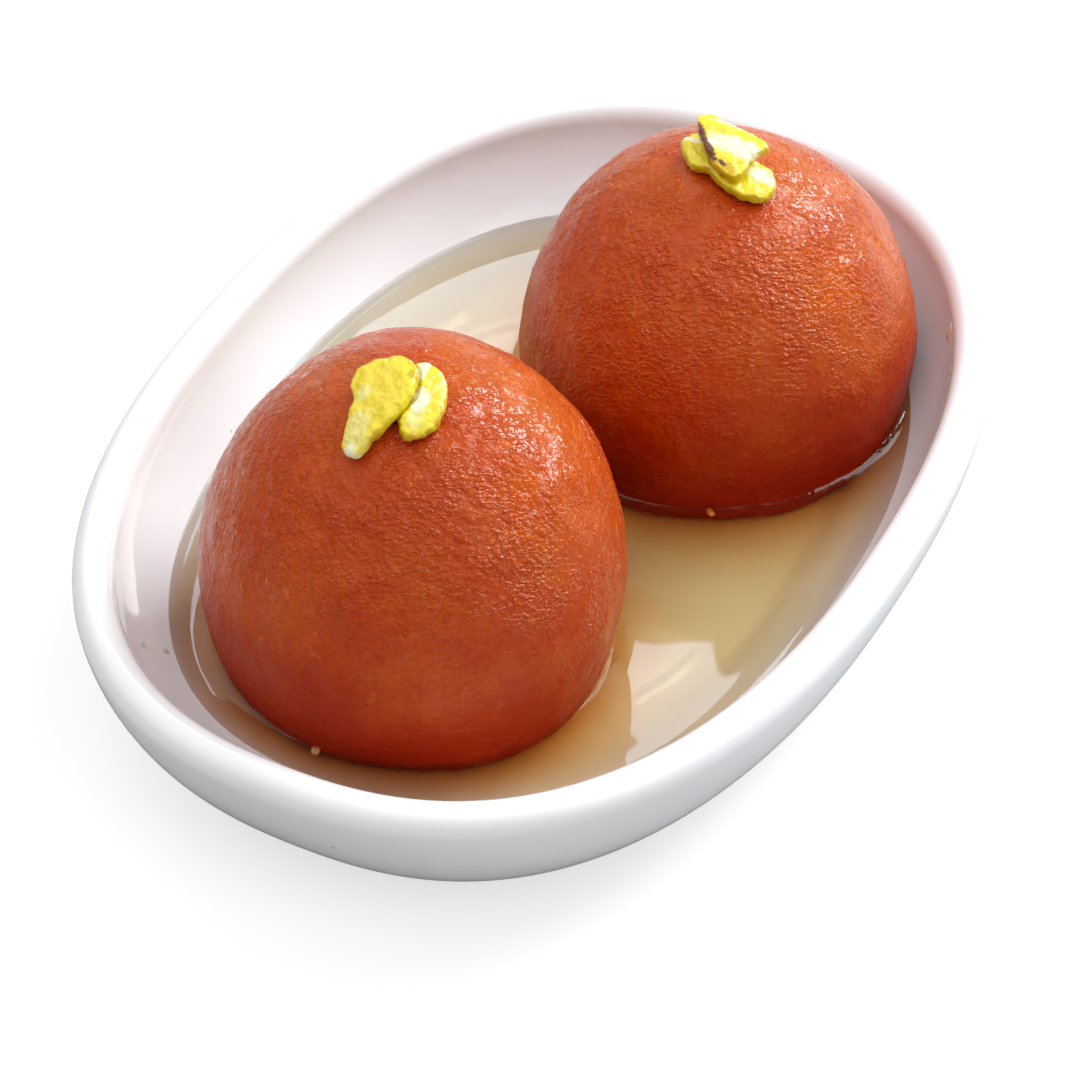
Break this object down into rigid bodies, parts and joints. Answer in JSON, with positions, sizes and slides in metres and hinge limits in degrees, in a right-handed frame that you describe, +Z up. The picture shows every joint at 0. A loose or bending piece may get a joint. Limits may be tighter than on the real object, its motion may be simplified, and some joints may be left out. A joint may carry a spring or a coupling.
{
  "type": "gulab jamun",
  "caption": "Soft fried milk-dough balls in sugar syrup, topped with pistachio slivers, served in a small oval porcelain dish",
  "frame": {"origin": "middle of the dish's base, on the surface it stands on", "axes": "+X along the dish's length, towards the lower ball; +Y across it; +Z up"},
  "size_m": [0.12, 0.0894, 0.0471],
  "materials": {
    "porcelain": "smooth white glaze",
    "syrup": "clear, pale golden, wet",
    "fried_skin": "fried brown skin, finely wrinkled and wet with syrup",
    "pistachio": "cut nut, yellow-green with a cream heart"
  },
  "bodies": {
    "root": {"dish": "porcelain", "syrup": "syrup", "jamun_front": "fried_skin", "jamun_rear": "fried_skin", "pistachio_front_long": "pistachio", "pistachio_front_round": "pistachio", "pistachio_rear_under": "pistachio", "pistachio_rear_top": "pistachio"}
  },
  "joints": []
}
